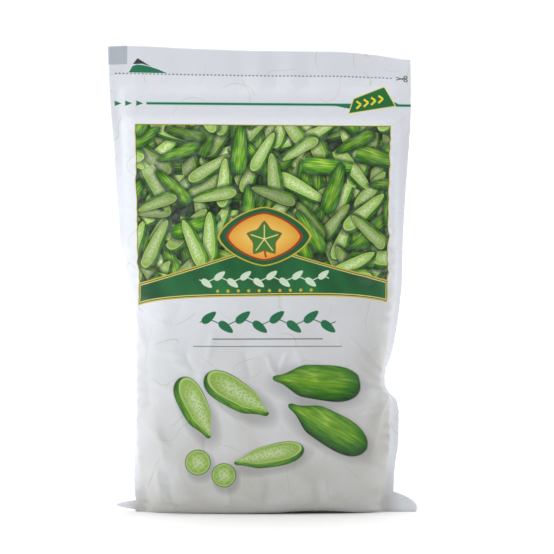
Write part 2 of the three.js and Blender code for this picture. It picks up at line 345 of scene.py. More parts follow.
def lump(x, z, centre, half, angle, out):
    """A soft bump: out x exp(-(a^2 + b^2)), with a and b along its two turned axes."""
    turn = math.radians(angle)
    a = ((x - centre[0]) * math.cos(turn) + (z - centre[1]) * math.sin(turn)) / half[0]
    b = ((z - centre[1]) * math.cos(turn) - (x - centre[0]) * math.sin(turn)) / half[1]
    return out * np.exp(-(a * a + b * b))


def own_relief(x, z, in_left, in_right, side):
    """How far one film stands out of its plain shape over the fill: lumps where gourds press on it,
    creases that it keeps, and puckers that run in from its side seals."""
    draw = np.random.default_rng(SEEDS[side])
    relief = np.zeros_like(x)
    for _ in range(RANDOM_LUMPS):
        centre = (draw.uniform(-80, 80), draw.uniform(6, 236))
        half = (draw.uniform(9, 15), draw.uniform(5, 8))
        relief += lump(x, z, centre, half, draw.uniform(-50, 50), draw.uniform(-0.7, 1.3))
    for _ in range(RANDOM_CREASES):
        start = (draw.uniform(-84, 84), draw.uniform(4, 240))
        turn = draw.uniform(0, math.pi)
        reach = draw.uniform(8, 26)
        end = (start[0] + reach * math.cos(turn), start[1] + reach * math.sin(turn))
        relief += crease(x, z, start, end, draw.uniform(1.3, 2.8), draw.uniform(-0.7, 0.95))
    if side < 0:
        for x0, z0, x1, z1, half, out in FRONT_CREASES:
            relief += crease(x, z, (x0, z0), (x1, z1), half, out)
        for at, height, wide, tall, out in FRONT_LUMPS:
            relief += lump(x, z, (at, height), (wide, tall), 0, out)
    for near, phase in ((in_left, 0.4), (in_right, 2.2)):
        wave = np.sin(z * 0.62 + 2.1 * np.sin(z * 0.071 + phase) + 1.3 * np.sin(z * 0.173 + phase * side))
        relief += 0.5 * wave * np.exp(-((near - 5) / 8) ** 2) * hump(z, 20, 232, 14)
    over_fill = step_up(np.minimum(in_left, in_right), 0, 7) * hump(z, 3, 236, 8)
    return relief * over_fill


def shared_waves(x, z, in_left, in_right):
    """How far both films bend together where they are sealed, as (x, y): ripples and a slow bow of the
    side seals, square to them, and soft puckers in the header. There are none at the zip."""
    ripple = np.sin(z * 1.15 + 1.7 * np.sin(z * 0.13)) * (0.12 + 0.16 * hump(z, 58, 84, 12))
    bow = 1.2 * np.sin(z * 0.031 + x * 0.006) * hump(z, 20, 225, 25)
    wave = ripple * hump(z, 8, 236, 10) + bow
    on_left = wave * (1 - step_up(in_left, -7, 9))
    on_right = wave * (1 - step_up(in_right, -7, 9))
    header = sum(out * np.exp(-((x - at) / half) ** 2) for at, half, out in HEADER_PUCKERS)
    header = header * step_up(z, 260, 267) * (1 - 0.6 * step_up(z, 275, 290))
    turned_left = np.radians(left_turn(z))
    turned_right = np.radians(right_turn(z))
    across = on_left * np.sin(turned_left) - on_right * np.sin(turned_right)
    return across, on_left * np.cos(turned_left) + on_right * np.cos(turned_right) + header


def tilt(x, z):
    """How far a level line of print rises along the pouch: down to the right above the panel and up to
    the right at its foot."""
    return x * (0.012 * hump(z, 138, 150, 40) - 0.008 * hump(z, 232, 300, 30))


def film_points(side):
    """One film's points, with its lean, folds and lumps, their flat places, and 1 where it is sealed
    at a side. The front's lower edge lifts by a share that fades up the wall, and under the base by
    the square of how far forward a point is."""
    grid = film_middle(side)
    flat = flat_places(grid)
    x, z = grid[..., 0].copy(), grid[..., 2].copy()
    in_left, in_right = from_seals(grid)
    walls = len(grid) - len(WALL)
    relief = own_relief(x, z, in_left, in_right, side)
    relief[:walls] = 0
    grid += normals_of(grid, side) * relief[..., None]
    for axis, moved in enumerate((*shared_waves(x, z, in_left, in_right), tilt(x, z))):
        grid[walls:, :, axis] += moved[walls:]
    if side < 0:
        share = np.where(np.arange(len(grid))[:, None] < walls, -grid[..., 1] / HALF_DEPTH[0][1], 1)
        share = np.clip(share, 0, 1) ** 2 * (1 - step_up(z, 0, LIFT_FADES))
        grid[..., 2] += foot_lift(x) * share
    grid[..., 1] += lean_back(grid[..., 0], grid[..., 2])
    sealed = 1 - step_up(np.minimum(in_left, in_right), -0.6, 0.6)
    sealed[:walls] = 0
    return grid, flat, sealed


def add_object(name, data):
    """A new object of the scene, at the origin."""
    made = bpy.data.objects.new(name, data)
    bpy.context.scene.collection.objects.link(made)
    return made


# The lowest flat height of each printed zone, from the top down: header, panel and lower picture.
ZONE_FLOORS = [247.5, 124, -500]


def shell_mesh(name, grid, flat, sealed, side):
    """A film's closed shell: its outside and inside lie half a wall out and in from the grid, and a
    rim joins their borders. Its attribute 'flat' holds each point's place on the flat film, in
    millimetres, and 'sealed' is 1 on its side seals."""
    rows, columns = grid.shape[:2]
    out = normals_of(grid, side) * FILM / 2
    points = np.concatenate([(grid + out).reshape(-1, 3), (grid - out).reshape(-1, 3)])
    points[:, 0] += SHIFT
    number = np.arange(rows * columns).reshape(rows, columns)
    corners = [number[:-1, :-1], number[:-1, 1:], number[1:, 1:], number[1:, :-1]]
    quads = np.stack(corners, axis=-1).reshape(-1, 4)
    inner = rows * columns
    border = np.concatenate([number[0, :-1], number[:-1, -1], number[-1, :0:-1], number[:0:-1, 0]])
    following = np.roll(border, -1)
    rim = np.stack([border, border + inner, following + inner, following], axis=-1)
    faces = np.concatenate([quads, quads[:, ::-1] + inner, rim])
    if side > 0:
        faces = faces[:, ::-1]
    mesh = bpy.data.meshes.new(name)
    mesh.from_pydata((points * MM).tolist(), [], faces.tolist())
    mesh.update()
    mesh.shade_smooth()
    where = np.zeros((2 * inner, 3), np.float32)
    where[:, :2] = np.concatenate([flat.reshape(-1, 2)] * 2)
    attribute = mesh.attributes.new("flat", "FLOAT_VECTOR", "POINT")
    attribute.data.foreach_set("vector", where.ravel())
    attribute = mesh.attributes.new("sealed", "FLOAT", "POINT")
    attribute.data.foreach_set("value", np.concatenate([sealed.ravel()] * 2).astype(np.float32))
    heights = where[faces[:, 0], 1]
    outside = np.arange(len(faces)) < len(quads)
    plain = len(ZONE_FLOORS)
    zone = np.full(len(faces), plain, np.int32)
    for index, low in enumerate(ZONE_FLOORS):
        zone[outside & (zone == plain) & (heights >= low)] = index
    mesh.polygons.foreach_set("material_index", zone)
    return add_object(name, mesh)


# ---- shader values in Python ----


def rgb(red, green, blue):
    """A printer's 0 to 255 colour as the linear one that a shader takes."""
    parts = np.array([red, green, blue]) / 255
    linear = np.where(parts <= 0.04045, parts / 12.92, ((parts + 0.055) / 1.055) ** 2.4)
    return tuple(float(part) for part in linear)


class Wire:
    """One output of a shader node. Python's operators on it add Math nodes."""

    def __init__(self, socket):
        self.socket = socket

    def node(self, kind, settings, inputs, output=0):
        """Adds a node of a type: its settings first, then the values or links of its sockets."""
        tree = self.socket.id_data
        made = tree.nodes.new("ShaderNode" + kind)
        for name, value in settings.items():
            if name == "stops":
                set_stops(made.color_ramp, value)
            else:
                setattr(made, name, value)
        for name, value in inputs.items():
            feed(made.inputs[name], value)
        return Wire(made.outputs[output])

    def math(self, operation, *others, clamp=False):
        """A Math node whose first value is this wire."""
        settings = {"operation": operation, "use_clamp": clamp}
        return self.node("Math", settings, dict(enumerate((self, *others))))

    __add__ = __radd__ = partialmethod(math, "ADD")
    __sub__ = partialmethod(math, "SUBTRACT")
    __mul__ = __rmul__ = partialmethod(math, "MULTIPLY")
    __truediv__ = partialmethod(math, "DIVIDE")
    __pow__ = partialmethod(math, "POWER")
    __abs__ = partialmethod(math, "ABSOLUTE")
    least = partialmethod(math, "MINIMUM")
    most = partialmethod(math, "MAXIMUM")

    def __rsub__(self, other):
        return self.node("Math", {"operation": "SUBTRACT"}, {0: other, 1: self})

    def within(self, soft):
        """0 where the wire is well below nothing, 1 where it is well above, over a soft step."""
        return self.math("MULTIPLY_ADD", 1 / soft, 0.5, clamp=True)

    def eased(self, start, end):
        """0 at a start, 1 at an end, and an S between them."""
        return self.node("MapRange", {"interpolation_type": "SMOOTHSTEP"}, {0: self, 1: start, 2: end})

    def parts(self, count=2):
        """The first parts of a vector."""
        split = self.node("SeparateXYZ", {}, {0: self}).socket.node
        return [Wire(output) for output in split.outputs[:count]]

    def turned(self, angle):
        """The vector turned about Z by an angle in radians."""
        return self.node("VectorRotate", {"rotation_type": "Z_AXIS"}, {"Vector": self, "Angle": angle})

    def placed(self, centre, angle=0.0, size=(1, 1)):
        """The vector as seen by a shape at a centre, turned by an angle and of a given half size."""
        turn = (0, 0, math.radians(angle))
        inputs = {0: self, "Location": (*centre, 0), "Rotation": turn, "Scale": (*size, 1)}
        return self.node("Mapping", {"vector_type": "TEXTURE"}, inputs)

    def noise(self, scale, detail=0.0, roughness=0.5, output=0):
        inputs = {"Vector": self, "Scale": scale, "Detail": detail, "Roughness": roughness}
        return self.node("TexNoise", {"noise_dimensions": "2D"}, inputs, output)

    def ramp(self, stops):
        return self.node("ValToRGB", {"stops": stops}, {0: self})


def feed(socket, value):
    """Links a wire into a socket, or sets the socket's own value."""
    if isinstance(value, Wire):
        socket.id_data.links.new(value.socket, socket)
    elif socket.type == "RGBA":
        socket.default_value = (*value[:3], 1)
    else:
        socket.default_value = value


def set_stops(ramp, stops):
    """Puts (position, colour) stops in place of a ramp's own two."""
    while len(ramp.elements) < len(stops):
        ramp.elements.new(1)
    for element, (position, shade) in zip(ramp.elements, stops):
        element.position = position
        element.color = (*shade, 1)


def over(below, ink, mask):
    """One colour laid over another where the mask says."""
    return mask.node("Mix", {"data_type": "RGBA"}, {0: mask, 6: below, 7: ink}, output=2)


def inked(below, ink, shape):
    """Ink laid over a colour wherever a printed shape is above 0, with the edge of print."""
    return over(below, ink, shape.within(INK_EDGE))


def scaled(vector, amount):
    """A colour or a vector times a number."""
    return vector.node("VectorMath", {"operation": "SCALE"}, {0: vector, "Scale": amount})


def point(x, y, z=0.0):
    """A vector from its parts, of which the first is a wire."""
    return x.node("CombineXYZ", {}, {0: x, 1: y, 2: z})


def cell_draws(column, row, draw):
    """Three random numbers for a cell of a grid."""
    cell = point(column, row, float(draw))
    noise = cell.node("TexWhiteNoise", {"noise_dimensions": "3D"}, {"Vector": cell}, output=1)
    return noise.parts(3)


def new_material(name, coordinates="flat"):
    """A material and the place that its pattern reads: the flat film, or the object's own space."""
    material = bpy.data.materials.new(name)
    material.use_nodes = True
    nodes = material.node_tree.nodes
    if coordinates == "flat":
        source = nodes.new("ShaderNodeAttribute")
        source.attribute_name = "flat"
        return material, Wire(source.outputs["Vector"])
    return material, Wire(nodes.new("ShaderNodeTexCoord").outputs["Object"])


def finish_material(material, inputs):
    bsdf = material.node_tree.nodes["Principled BSDF"]
    for name, value in inputs.items():
        feed(bsdf.inputs[name], value)
    return material


# ---- inks ----

WHITE_FILM = rgb(232, 236, 243)
# Painted shade: a grey laid over the white film low down and to the right.
PAINTED_SHADE_GREY = rgb(196, 195, 191)
FIBRE = rgb(178, 180, 128)
SEA_GREEN = rgb(22, 122, 84)
DEEP_GREEN = rgb(10, 84, 48)
BAND_GREEN = rgb(14, 82, 44)
BAND_LIGHT = rgb(36, 122, 62)
GOLD = rgb(208, 188, 62)
GOLD_PALE = rgb(244, 226, 140)
ORANGE = rgb(236, 160, 44)
RUST = rgb(168, 52, 24)
BLACK_INK = rgb(38, 38, 42)
GREY_INK = rgb(184, 191, 200)
PALE_LEAF = rgb(214, 232, 208)
VINE_GREEN = rgb(20, 112, 70)
LEAF_GREEN = rgb(62, 128, 50)
RING_GREEN = rgb(20, 96, 52)
FLAG_GREEN = rgb(24, 112, 52)
COIN_GREEN = rgb(48, 112, 34)
LINE_GREEN = rgb(40, 66, 26)
LINE_PALE = rgb(206, 232, 228)
YELLOW = rgb(246, 228, 60)
AMBER = rgb(250, 220, 110)
SLATE = rgb(58, 60, 62)
FROST = rgb(190, 206, 184)
INK_EDGE = 0.25  # how soft a printed edge is, in millimetres

# ---- the film's paper look ----

RIB_PITCH = 1.6  # of the heat seal's ribs
STRAND_CELL = 27  # the side of the square that holds one fibre
STRAND_HALF = 0.2  # half a fibre's width
STRAND_GAPS = 0.38  # the share of the squares that hold none
WANDER = 14  # how far the squares' grid is bent
# SEAL_START also marks where the film's painted shade ends.
SEAL_START = 88  # how far out the film is sealed, and shows no grey


def strands(place, angle, draw):
    """Thin fibres: in each square cell of a bent and turned grid, one arc of a circle, whose radius,
    length and direction come from the cell's random numbers."""
    bend = {0: place.noise(0.045, output=1), 1: (WANDER, WANDER, 0), 2: place}
    bent = place.node("VectorMath", {"operation": "MULTIPLY_ADD"}, bend)
    x, y = bent.placed((draw * 5.3, draw * 2.9), angle).parts()
    column = (x / STRAND_CELL).math("FLOOR")
    row = (y / STRAND_CELL).math("FLOOR")
    first, second, third = cell_draws(column, row, draw)
    spot = point(x - (column + 0.5) * STRAND_CELL, y - (row + 0.5) * STRAND_CELL)
    x, y = spot.turned(third * 6.3).parts()
    radius = 6 + first * 16
    away = abs(((x - radius) * (x - radius) + y * y).math("SQRT") - radius)
    ends = (4 + first * 7 - abs(y)).within(2) * (radius - x).within(1)
    return (STRAND_HALF - away).within(0.3) * (second - STRAND_GAPS).within(0.02) * ends


def fibre_film(place):
    """White film printed like fibre paper, with two sets of pale strands. Painted shade greys it in
    patches low down, more so to the right, but not on its sealed sides."""
    x, y = place.parts()
    # Painted shade: grey over the white film, in patches, most low down and to the right, none on the
    # seals.
    patches = 0.9 + 0.9 * (place.noise(0.035, 1.0) - 0.5)
    unsealed = 1 - (abs(x) - SEAL_START).within(9) * 0.9
    grey = (95 + x * 0.45 - y).within(150) * patches * unsealed
    base = over(WHITE_FILM, PAINTED_SHADE_GREY, grey)
    base = over(base, FIBRE, strands(place, 20, 3) * 0.55)
    return over(base, FIBRE, strands(place, 65, 8) * 0.4)


def film_surface(place):
    """Roughness and relief of satin film: a little uneven, with fine crinkles, and fine ribs across the
    heat-sealed sides."""
    y = place.parts()[1]
    wide = place.noise(0.05, 2.0)
    crinkle = place.noise(0.14, 3.0, 0.55)
    fine = place.noise(1.6, 1.0)
    sealed = place.node("Attribute", {"attribute_name": "sealed"}, {}, output=2)
    ribs = (y * (2 * math.pi / RIB_PITCH)).math("SINE") * sealed
    height = crinkle * 0.6 + fine * 0.014 + ribs * 0.02
    bump = place.node("Bump", {}, {"Strength": 0.5, "Distance": 0.001, "Height": height})
    return {"Roughness": 0.32 + wide * 0.16, "Normal": bump}


# ---- printed shapes ----


def disc(place, centre, radius):
    """How far inside a circle a place is, in millimetres."""
    away = place.node("VectorMath", {"operation": "DISTANCE"}, {0: place, 1: (*centre, 0)}, output=1)
    return radius - away


def stroke(place, start, end, half):
    """How far inside a straight line of a half width a place is."""
    length = math.dist(start, end)
    angle = math.degrees(math.atan2(end[1] - start[1], end[0] - start[0]))
    middle = ((start[0] + end[0]) / 2, (start[1] + end[1]) / 2)
    along, across = place.placed(middle, angle).parts()
    return (length / 2 - abs(along)).least(half - abs(across))


def polygon(place, corners):
    """How far inside a convex outline a place is: the least of its distances from the sides."""
    inside = None
    for (x0, y0), (x1, y1) in zip(corners, corners[1:] + corners[:1]):
        length = math.hypot(x1 - x0, y1 - y0)
        normal = ((y0 - y1) / length, (x1 - x0) / length)
        products = {0: place, 1: (*normal, 0)}
        dot = place.node("VectorMath", {"operation": "DOT_PRODUCT"}, products, output=1)
        side = dot - (normal[0] * x0 + normal[1] * y0)
        inside = side if inside is None else inside.least(side)
    return inside


def together(shapes):
    """How far inside any of several shapes a place is."""
    whole, *others = shapes
    for shape in others:
        whole = whole.most(shape)
    return whole


def body_of(place, taper, blunt, neck=0.0):
    """How deep in a gourd a place is, and the place's two parts, on a place scaled to the gourd's half
    length and half width. The depth is 1 at its middle and 0 at its outline: 1 - |t|^blunt - (y / w)^2,
    where w is 1 - taper t. Towards a neck, at its stem end, w narrows and the power rises."""
    t, y = place.parts()
    width = 1 - taper * t
    if neck:
        narrow = t.eased(-0.3, -0.88)
        width = width * (1 - narrow * neck)
        blunt = narrow * 7 + blunt
    spread = y / width
    return 1 - abs(t) ** blunt - spread * spread, t, y


# ---- printed gourds ----

SKIN = [(0.0, rgb(10, 46, 8)), (0.3, rgb(28, 88, 10)), (0.58, rgb(64, 126, 14)),
        (0.8, rgb(116, 166, 30)), (1.0, rgb(182, 208, 92))]
FLESH = [(0.0, rgb(76, 130, 38)), (0.1, rgb(180, 208, 124)), (0.3, rgb(142, 178, 74)),
         (0.7, rgb(166, 196, 108)), (1.0, rgb(192, 214, 156))]
SEED = rgb(110, 146, 40)


def skin_colour(form, t, y, shine, detail=2.0):
    """Green skin: darker to its outline, with pale streaks along it and a lit side."""
    streak = point(t * 1.1, y * 3.2).noise(1.9, detail, 0.55)
    tone = form.most(0).math("SQRT") * 0.76 + (streak - 0.5) * 0.6
    return (tone + y * shine).ramp(SKIN)


def flesh_colour(form, t, y, seeds):
    """A pale cut face with a thin rim and seeds in its middle."""
    spot = point(t * seeds[0], y * seeds[1])
    near = spot.node("TexVoronoi", {"voronoi_dimensions": "2D"}, {"Vector": spot, "Scale": 1.0})
    seed = (0.3 - near).within(0.16) * (form - 0.3).within(0.25) * 0.45
    return over(form.ramp(FLESH), SEED, seed)


LONG_CELL = (37, 14)
WIDE_CELL = (35, 30)
# The pile's layers from the bottom up: direction in degrees, start of the random draws, cell size, half
# size of a gourd piece and how far a piece may be turned, in radians.
PILE_LAYERS = [
    (12, 3, LONG_CELL, (17, 5.4), 0.6), (104, 11, LONG_CELL, (17, 5.4), 0.6),
    (58, 19, LONG_CELL, (16, 5), 0.6), (150, 27, WIDE_CELL, (16.5, 4.8), 3.1),
    (20, 35, WIDE_CELL, (17, 4.8), 3.1), (75, 43, WIDE_CELL, (17.5, 5), 3.1),
    (130, 51, WIDE_CELL, (16.5, 4.6), 3.1),
]
PILE_LIGHT = 70  # the direction that the pile is lit from, in degrees
STAGGER = 0.37  # how far each row of cells lies along from the last, as a share of a cell
HALVED_FROM = 0.38  # pieces whose first random number is above this show a cut face
PIECE = {"taper": 0.34, "blunt": 3.8}
WHOLE = {"taper": -0.2, "blunt": 2.8, "neck": 0.7}
HALF = {"taper": -0.22, "blunt": 2.6, "neck": 0.62}


def pile_layer(place, below, angle, draw, size, half, turn):
    """One layer of the pile, laid over what is below: a gourd piece in each cell of staggered rows,
    moved, turned and tinted by its cell's random numbers, with a soft shadow round it."""
    x, y = place.placed((draw * 7.3, draw * 3.1), angle).parts()
    row = (y / size[1]).math("FLOOR")
    x = x + row * (size[0] * STAGGER)
    column = (x / size[0]).math("FLOOR")
    first, second, third = cell_draws(column, row, draw)
    along = x - (column + 0.5) * size[0] + (first - 0.5) * 4
    across = y - (row + 0.5) * size[1] + (second - 0.5) * 3
    swing = (third - 0.5) * turn
    spot = scaled(point(along, across).turned(swing), 1.22 - third * 0.34)
    form, t, y = body_of(spot.placed((0, 0), 0, half), **PIECE)
    lit = (swing + math.radians(PILE_LIGHT - angle)).math("SINE") * 0.24
    face = body_of(spot.placed((0.2, 0.9), 0, (half[0] * 0.97, half[1] * 0.74)), **PIECE)
    halved = face[0].within(0.2) * first.math("GREATER_THAN", HALVED_FROM)
    piece = over(skin_colour(form, t, y, lit, 0.0), flesh_colour(*face, (8, 2.6)), halved)
    piece = scaled(piece, 0.7 + second * 0.66 + lit * 0.5)
    shade = (form + 0.45).within(1.1) * 0.82
    return over(scaled(below, 1 - shade), piece, form.within(0.16))


def whole_gourd(place, below, centre, angle, size, shine):
    """A whole gourd with its stem end back along its direction, and a soft shadow under it."""
    below = shadow_under(place, below, centre, angle, size)
    form, t, y = body_of(place.placed(centre, angle, size), **WHOLE)
    return over(below, skin_colour(form, t, y, shine), form.within(0.08))


def half_gourd(place, below, centre, angle, size, side):
    """A gourd cut along its length, its cut face turned a little towards one side."""
    below = shadow_under(place, below, centre, angle, size)
    form, t, y = body_of(place.placed(centre, angle, size), **HALF)
    below = over(below, scaled(skin_colour(form, t, y, -0.2 * side), 0.95), form.within(0.08))
    face_centre = beside(centre, angle + 90, size[1] * 0.2 * side)
    face = body_of(place.placed(face_centre, angle, (size[0] * 0.96, size[1] * 0.78)), **HALF)
    return over(below, flesh_colour(*face, (11, 3.4)), face[0].within(0.1) * form.within(0.08))


def coin_slice(place, below, centre, radius):
    """A round slice: skin, flesh and a ring of seeds."""
    below = shadow_under(place, below, centre, 0, (radius, radius))
    form, t, y = body_of(place.placed(centre, 0, (radius, radius)), 0, 2)
    below = over(below, COIN_GREEN, form.within(0.12))
    inner = (form - 0.1) / 0.9
    return over(below, flesh_colour(inner, t, y, (3.4, 3.4)), inner.within(0.12))


def beside(centre, angle, away):
    """A point at a distance from a centre in a direction."""
    turn = math.radians(angle)
    return (centre[0] + away * math.cos(turn), centre[1] + away * math.sin(turn))


def shadow_under(place, below, centre, angle, size):
    """A soft grey shadow, down and to the right of a printed thing."""
    spot = (centre[0] + 1.6, centre[1] - 2.6)
    form = body_of(place.placed(spot, angle, (size[0] * 1.06, size[1] * 1.12)), 0, 2.4)[0]
    return scaled(below, 1 - (form + 0.1).within(0.9) * 0.3)


def leaf_form(place, centre, angle, size):
    """A five-pointed leaf whose edge stands 1 - 0.36 |sin 2.5a| of its size from its centre, and its
    veins, which run from the centre to the points."""
    x, y = place.placed(centre, angle, (size, size)).parts()
    away = (x * x + y * y).math("SQRT")
    off = abs((y.math("ARCTAN2", x) * 2.5).math("SINE"))
    veins = (0.03 - off * away * 0.4).within(0.03) * (0.8 - away).within(0.1)
    return 1 - off * 0.36 - away, veins


def vine(place, below, ink, centre, half, pitch, height, leaf):
    """A wavy stem with a leaf at each crest, on alternate sides."""
    x, y = place.placed(centre).parts()
    cell = (x / pitch).math("FLOOR")
    side = 1 - 2 * abs(cell.math("MODULO", 2))
    stem = 0.35 - abs(y - (x * (math.pi / pitch)).math("SINE") * height)
    spot = point(x - (cell + 0.5) * pitch, y * side)
    form = body_of(spot.placed((0.6, height + leaf[1] * 0.6), 38, leaf), 0.3, 2)[0]
    near = (half - abs(x)).within(INK_EDGE)
    below = over(below, ink, stem.within(INK_EDGE) * near)
    return over(below, ink, form.within(0.15) * near)


# ---- the front's print, in millimetres on the flat film ----

PANEL = {"half": 80.2, "low": 138, "high": 241.4, "border": 0.9}
ZIP_HEIGHT = 255
TEAR_HEIGHT = 273.4
DASH_PITCH = 2.4  # of the tear line
ARROW_STARTS = (-93.4, -86.4, -79.4)
BEAD_PITCH = 6.4  # of the band's gold dots


def header_marks(place, film):
    """The opening marks: an eye mark, a dotted tear line with a tab and scissors, and the zip's line
    with its arrows and flag."""
    x, y = place.parts()
    # Painted shade: the film above the tear line is made a twentieth darker.
    film = scaled(film, 1 - (y - TEAR_HEIGHT).within(2) * 0.05)
    eye_mark = polygon(place, [(-98, 278.6), (-85.4, 278.6), (-85.4, 296), (-98, 296)])
    film = over(film, GREY_INK, eye_mark.within(0.3))
    dash = 0.26 - abs((x / DASH_PITCH).math("FRACT") - 0.5)
    dots = dash.within(0.1) * (0.42 - abs(y - TEAR_HEIGHT)).within(0.3) * (87 - abs(x + 6)).within(0.4)
    film = over(film, BLACK_INK, dots * 0.75)
    film = tear_tab(place, film)
    film = scissors(place, film)
    return zip_line(place, film, x, y)


def tear_tab(place, film):
    """A dark corner lifting off a green swoosh, on the tear line."""
    for ink, corners in (
        (SLATE, [(-82.8, 277.6), (-69.6, 277.2), (-78.9, 282.2)]),
        (WHITE_FILM, [(-85.2, 273.6), (-57, 273.6), (-68, 277.1), (-76, 279), (-82.6, 278.6)]),
        (SEA_GREEN, [(-84.4, 273.9), (-60, 273.9), (-66, 276.1), (-71, 277.5), (-75.5, 278.3),
                     (-79, 278.5), (-82, 277.7)]),
    ):
        film = inked(film, ink, polygon(place, corners))
    return film


def scissors(place, film):
    """Two rings and two crossed blades at the end of the tear line."""
    half = 0.32
    shapes = []
    for side in (-1, 1):
        tip = (83.6, TEAR_HEIGHT - 1.1 * side)
        shapes.append(stroke(place, (88.6, TEAR_HEIGHT + 0.6 * side), tip, half))
        shapes.append(half - abs(disc(place, (89.6, TEAR_HEIGHT + 1.25 * side), 0.95)))
    return inked(film, DEEP_GREEN, together(shapes))


def arrow(place, start):
    """A small triangle that points along the zip."""
    tip = (start + 4.4, ZIP_HEIGHT)
    return polygon(place, [(start, ZIP_HEIGHT - 1.7), tip, (start, ZIP_HEIGHT + 1.7)])


def chevron(place, x, y):
    """Two short strokes that meet in a point on their right."""
    return together([stroke(place, (x - 1.6, y + end), (x + 1.2, y + 0.4), 0.62) for end in (-2.3, 2.3)])


def zip_line(place, film, x, y):
    """The zip's printed line with a pale edge, its three arrows, and a flag with plain chevrons."""
    past = (x + 73).within(0.4)
    off = abs(y - ZIP_HEIGHT)
    film = over(film, LINE_PALE, (1.5 - off).within(1.0) * past * 0.8)
    film = over(film, SEA_GREEN, (0.72 - off).within(INK_EDGE) * past)
    arrows = together([arrow(place, start) for start in ARROW_STARTS])
    film = inked(film, SEA_GREEN, arrows)
    flag = polygon(place, [(54, 249.8), (82.6, 254.6), (76, 266.6), (57, 258.6)])
    left_tail = polygon(place, [(44, 254.5), (60, 251.5), (60, 255.5)])
    right_tail = polygon(place, [(78, 254), (88, 254.5), (79, 258.5)])
    film = inked(film, SEA_GREEN, left_tail.most(right_tail))
    film = inked(film, GOLD_PALE, flag + 0.6)
    film = inked(film, FLAG_GREEN, flag)
    chevrons = together([chevron(place, 60.2 + 4.6 * step, 255 + 1.2 * step) for step in range(4)])
    return inked(film, YELLOW, chevrons)


def pile_panel(place, film):
    """The picture panel: a crowded pile of cut gourds inside a thin gold border."""
    x, y = place.parts()
    pile = place.noise(0.06).ramp([(0.3, rgb(10, 34, 14)), (0.7, rgb(34, 74, 30))])
    for layer in PILE_LAYERS:
        pile = pile_layer(place, pile, *layer)
    inside = (PANEL["half"] - abs(x)).least(PANEL["high"] - y).least(y - PANEL["low"])
    frost = (place.noise(0.2, 3.0, 0.6) - 0.58).within(0.3) * 0.12
    pile = over(pile, FROST, frost)
    film = inked(film, GOLD, inside)
    film = inked(film, LINE_GREEN, inside - PANEL["border"] * 0.6)
    return inked(film, pile, inside - PANEL["border"])


def band(place, film):
    """The dark band under the panel: it rises to its middle, and holds two gold lines, a leafy vine
    and a row of dots."""
    x, y = place.parts()
    across = abs(x) / PANEL["half"]
    top = 140.6 + 23 * (1 - across) ** 1.15
    bottom = 131.2 - 4.6 * across ** 4
    inside = (y - bottom).least(top - y).least(PANEL["half"] + 0.8 - abs(x))
    sheen = place.placed((0, 150), 20, (1, 3)).noise(0.05, 1.0)
    green = sheen.ramp([(0.3, BAND_GREEN), (0.75, BAND_LIGHT)])
    for ink, inset in ((GOLD, 0), (BAND_GREEN, 0.8), (GOLD_PALE, 1.4), (green, 1.9)):
        film = inked(film, ink, inside - inset)
    film = vine(place, film, PALE_LEAF, (1, 142), 40, 8, 1.2, (4.0, 1.9))
    bead = point(((x - 1) / BEAD_PITCH).math("FRACT") * BEAD_PITCH - BEAD_PITCH / 2, y - 134.9)
    beads = disc(bead, (0, 0), 0.95).within(INK_EDGE) * (32 - abs(x - 1)).within(INK_EDGE)
    film = over(film, GOLD, beads)
    return medallion(place, film)


def medallion(place, film):
    """A gold lozenge with soft corners, ringed in green and rust, that holds one plain leaf."""
    x, y = place.placed((1, 168.5), 0, (29, 18.5)).parts()
    form = 1 - abs(x) ** 1.5 - abs(y) ** 1.5
    fill = form.ramp([(0.3, ORANGE), (1.0, AMBER)])
    for ink, inset in ((GOLD, 0), (RING_GREEN, 0.06), (RUST, 0.26), (fill, 0.34)):
        film = over(film, ink, (form - inset).within(0.03))
    leaf, veins = leaf_form(place, (1, 167), 90, 11)
    stalk = stroke(place, (1, 160.5), (2, 155.5), 0.55).within(INK_EDGE)
    film = over(film, RUST, (leaf + 0.05).within(0.04).most(stalk))
    film = over(film, LEAF_GREEN, leaf.within(0.04))
    return over(film, GOLD_PALE, veins)


def lower_picture(place, film):
    """Below the band: a leafy vine, two thin rules, and gourds whole and cut."""
    film = vine(place, film, VINE_GREEN, (3, 115.5), 42, 10.5, 1.6, (5.4, 2.5))
    upper = stroke(place, (-31, 105), (37, 105), 0.35)
    lower = stroke(place, (-43, 100.4), (49, 100.4), 0.25)
    film = over(film, BLACK_INK, upper.most(lower).within(INK_EDGE) * 0.8)
    film = whole_gourd(place, film, (34, 78), 354, (28, 11), 0.2)
    film = whole_gourd(place, film, (40, 50), 330, (28, 10.4), 0.25)
    film = half_gourd(place, film, (-42, 62), 116, (21, 8.6), -1)
    film = half_gourd(place, film, (-16, 70), 148, (23, 9), -1)
    film = coin_slice(place, film, (-40, 28), 8)
    film = coin_slice(place, film, (-24, 20), 7.6)
    return half_gourd(place, film, (4, 32), 12, (22, 7), 1)


def front_panel(place, film):
    return band(place, pile_panel(place, film))


# ---- the back's print ----


def back_panel(place, film):
    """A green band with a vine, over a thin frame with one rule under its heading space."""
    x, y = place.parts()
    stripe = (13 - abs(y - 226)).least(80 - abs(x))
    film = inked(film, GOLD, stripe)
    film = inked(film, BAND_GREEN, stripe - 0.9)
    film = vine(place, film, PALE_LEAF, (0, 226), 70, 10, 1.8, (4.6, 2.2))
    frame_edge = (32 - abs(y - 172)).least(72 - abs(x))
    lines = (0.35 - abs(frame_edge)).most((0.25 - abs(y - 192)).least(70 - abs(x)))
    film = inked(film, DEEP_GREEN, lines)
    film = half_gourd(place, film, (-34, 168), 24, (23, 8.6), 1)
    film = whole_gourd(place, film, (30, 164), 340, (26, 9.6), 0.2)
    return coin_slice(place, film, (-4, 152), 7.4)


